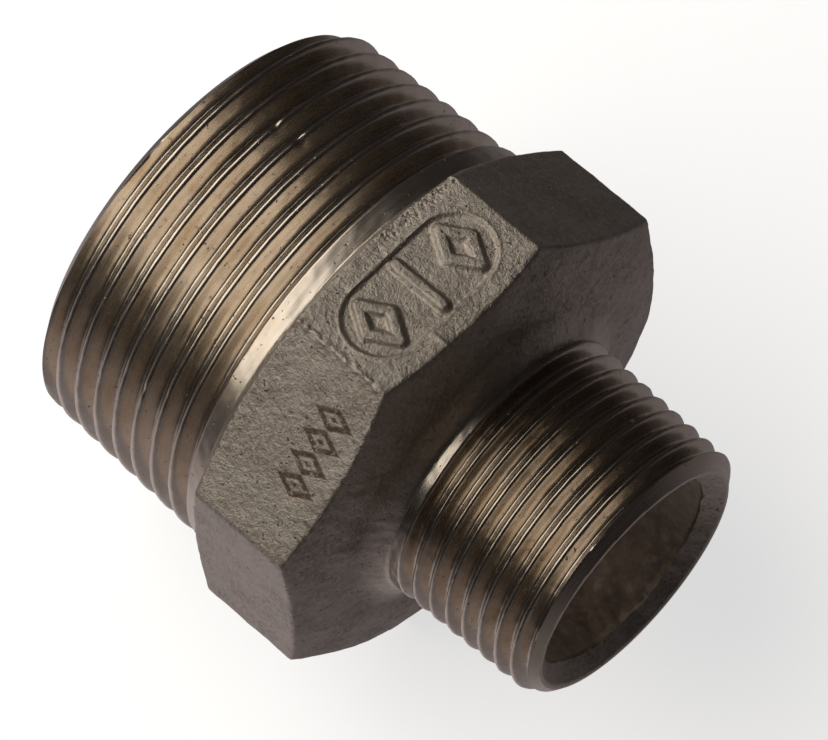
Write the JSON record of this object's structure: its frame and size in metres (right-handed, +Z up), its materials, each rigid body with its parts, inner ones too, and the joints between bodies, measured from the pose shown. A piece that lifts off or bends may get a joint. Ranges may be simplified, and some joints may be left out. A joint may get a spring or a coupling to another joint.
{
  "type": "reducing pipe nipple",
  "caption": "Octagonal reducing pipe nipple with a large and a small male taper thread either side of a spanner collar, and a tapering through bore.",
  "frame": {"origin": "on the supporting surface, below the middle of the part's length, as it lies on one flat of its collar", "axes": "+X along the thread axis towards the small end, +Z up out of the flat with the racetrack recess"},
  "size_m": [0.051, 0.0446, 0.0445],
  "materials": {
    "cast_stainless": "as-cast collar, turned threads"
  },
  "bodies": {
    "root": {"reducing_nipple_body": "cast_stainless"}
  },
  "joints": []
}
